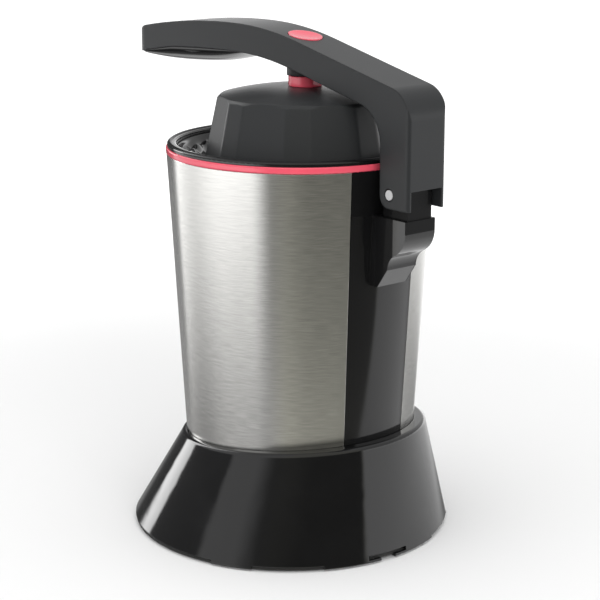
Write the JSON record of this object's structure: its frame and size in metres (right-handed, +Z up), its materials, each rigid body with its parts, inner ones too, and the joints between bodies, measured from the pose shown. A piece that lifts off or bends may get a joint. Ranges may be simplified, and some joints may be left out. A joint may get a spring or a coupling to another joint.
{
  "type": "citrus press juicer",
  "caption": "Electric citrus press: tapered brushed-steel body on a flared black base, hinged lever arm with a faceted press dome over a ribbed cone, and a rear hinge housing.",
  "frame": {"origin": "on the body's axis, in the plane that the rubber ring rests on", "axes": "+Z up, -Y towards the spout and the lever's tip, +Y towards the hinge, +X to the right seen from the front"},
  "size_m": [0.2018, 0.2635, 0.315],
  "materials": {
    "black_gloss": "high gloss moulded plastic",
    "black_satin": "satin moulded plastic",
    "black_inner": "plain moulded plastic",
    "steel": "horizontally brushed",
    "red_gloss": "gloss moulded plastic",
    "bright_steel": "polished",
    "zinc": "zinc plated",
    "rubber": "matt",
    "nylon": "natural moulded nylon",
    "bronze": "sintered",
    "copper": "enamelled wire",
    "lamination": "stacked sheet"
  },
  "bodies": {
    "base": {"base_skirt": "black_gloss", "base_plate": "black_inner", "foot_ring": "rubber", "base_screws": "zinc", "steel_sleeve": "steel", "rear_housing": "black_gloss", "hinge_bushes": "nylon", "inner_frame": "black_inner", "spine_screws": "zinc", "trim_ring": "red_gloss", "juice_bowl": "black_gloss", "spindle_seal": "rubber", "strainer": "black_gloss", "spout": "black_gloss", "spindle_bush": "bronze", "start_switch": "black_inner", "gear_axle": "bright_steel", "gear_tray": "black_inner", "gear_bridge": "zinc", "gear_screws": "zinc", "motor_stack": "lamination", "motor_windings": "copper", "motor_brackets": "zinc", "motor_bushes": "bronze", "motor_dampers": "rubber", "motor_screws": "zinc"},
    "arm": {"arm_shell": "black_satin", "arm_cover": "black_gloss", "arm_screws": "zinc", "hinge_pin": "bright_steel", "press_dome": "black_satin", "dome_cup": "black_gloss", "dome_stem": "bright_steel", "dome_collar": "red_gloss", "stem_sleeve": "black_inner", "retaining_clip": "zinc"},
    "button": {"release_button": "red_gloss", "button_spring": "zinc"},
    "press_yoke": {"press_yoke": "nylon", "switch_plunger": "red_gloss", "spindle_spring": "zinc"},
    "cone": {"spindle": "bright_steel", "reamer": "black_gloss"},
    "output_gear": {"output_gear": "nylon"},
    "compound_gear": {"compound_gear": "nylon"},
    "rotor": {"motor_rotor": "lamination", "motor_shaft": "bright_steel", "motor_pinion": "bright_steel", "cooling_fan": "black_inner"},
    "drip_stop": {"drip_stop": "black_gloss"}
  },
  "joints": [
    {"name": "arm_hinge", "type": "hinge", "parent": "base", "child": "arm", "pos_m": [0, 0.0964, 0.2279], "axis": [-1, 0, 0], "range_deg": [0, 55]},
    {"name": "button_press", "type": "slide", "parent": "arm", "child": "button", "axis": [0, 0, -1], "range_m": [0, 0.0025], "stiffness_N_per_m": 400, "springref_m": -0.002, "deforming": ["button_spring"]},
    {"name": "cone_press", "type": "slide", "parent": "base", "child": "press_yoke", "axis": [0, 0, -1], "range_m": [0, 0.003], "stiffness_N_per_m": 2000, "springref_m": -0.004, "deforming": ["spindle_spring"]},
    {"name": "rotor_spin", "type": "hinge", "parent": "base", "child": "rotor", "pos_m": [0, 0.01, 0.086], "axis": [0, 0, 1], "continuous": true},
    {"name": "compound_spin", "type": "hinge", "parent": "base", "child": "compound_gear", "pos_m": [0, 0.04, 0.138], "axis": [0, 0, 1], "continuous": true},
    {"name": "output_spin", "type": "hinge", "parent": "base", "child": "output_gear", "pos_m": [0, 0.005, 0.143], "axis": [0, 0, 1], "continuous": true},
    {"name": "cone_spin", "type": "hinge", "parent": "press_yoke", "child": "cone", "pos_m": [0, 0.005, 0.175], "axis": [0, 0, 1], "continuous": true},
    {"name": "drip_stop_turn", "type": "hinge", "parent": "base", "child": "drip_stop", "pos_m": [0, -0.08892, 0.193], "axis": [-1, 0, 0], "range_deg": [0, 45]}
  ],
  "couplings": [
    {"joint": "compound_spin", "follows": "rotor_spin", "ratio": -0.25},
    {"joint": "output_spin", "follows": "rotor_spin", "ratio": 0.083333},
    {"joint": "cone_spin", "follows": "rotor_spin", "ratio": 0.083333}
  ]
}
